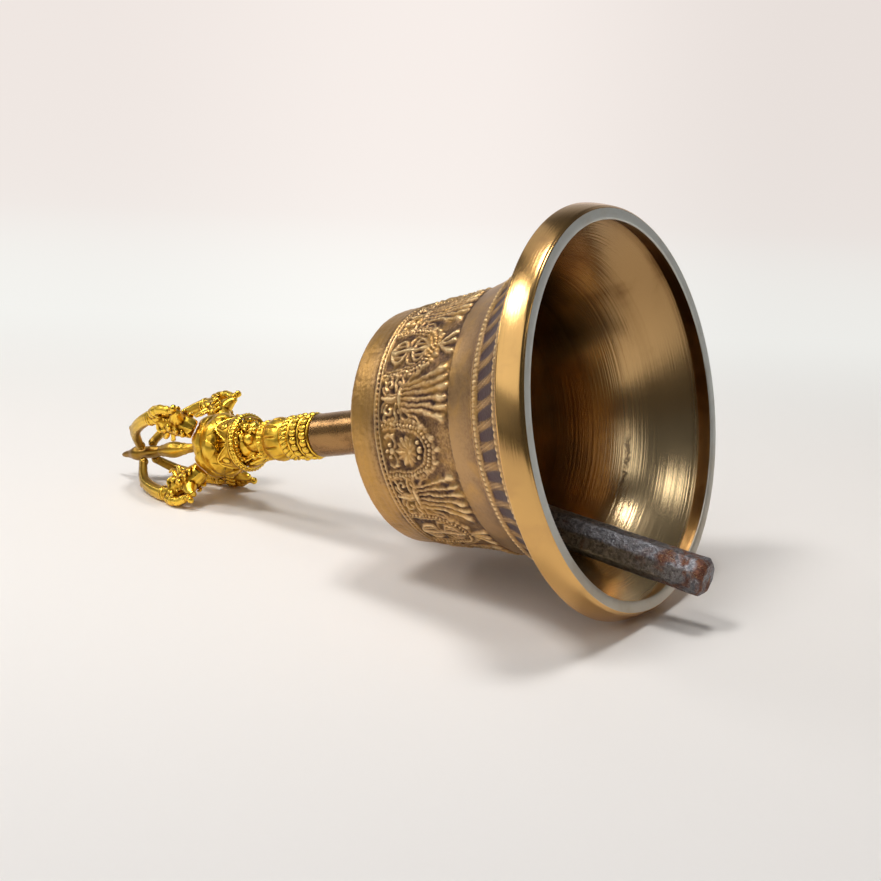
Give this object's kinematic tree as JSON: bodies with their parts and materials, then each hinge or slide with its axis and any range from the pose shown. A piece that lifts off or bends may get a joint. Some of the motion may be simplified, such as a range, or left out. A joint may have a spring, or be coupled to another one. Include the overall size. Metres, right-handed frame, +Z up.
{
  "type": "tibetan hand bell",
  "caption": "Bronze ritual hand bell lying on its side, with a gilt crowned-head and half-vajra handle and a free iron clapper.",
  "frame": {"origin": "on the surface the bell lies on, under the middle of its box", "axes": "+X along the bell's length from the handle's tip to the mouth, +Y to the side away from the camera, +Z up"},
  "size_m": [0.1866, 0.0934, 0.0909],
  "materials": {
    "antique_bronze": "cast relief with dark patina, rim and inside polished",
    "brown_bronze": "smooth, brown patina",
    "gilt_brass": "gilt, rubbed bright on the high places",
    "forged_iron": "forged and rusted"
  },
  "bodies": {
    "bell": {"bell_cup": "antique_bronze", "petal_foot_ring": "antique_bronze", "stem": "brown_bronze", "beaded_collar": "gilt_brass", "neck_ring": "gilt_brass", "vase": "gilt_brass", "goddess_head": "gilt_brass", "leaf_crown": "gilt_brass", "lotus_seat": "gilt_brass", "vajra_core": "gilt_brass", "vajra_prong_1": "gilt_brass", "vajra_prong_2": "gilt_brass", "vajra_prong_3": "gilt_brass", "vajra_prong_4": "gilt_brass", "rivet_washer": "forged_iron"},
    "eye": {"clapper_eye": "forged_iron"},
    "link": {"clapper_link": "forged_iron"},
    "clapper": {"clapper": "forged_iron"}
  },
  "joints": [
    {"name": "eye_turn", "type": "hinge", "parent": "bell", "child": "eye", "pos_m": [0.02468, 0, 0.03564], "axis": [-0.9734, 0, -0.229], "continuous": true},
    {"name": "link_swing", "type": "hinge", "parent": "eye", "child": "link", "pos_m": [0.02468, 0, 0.03564], "axis": [0, -1, 0], "range_deg": [0, 40]},
    {"name": "clapper_swing", "type": "hinge", "parent": "link", "child": "clapper", "pos_m": [0.02468, 0, 0.01864], "axis": [0, -1, 0], "range_deg": [0, 30]}
  ]
}
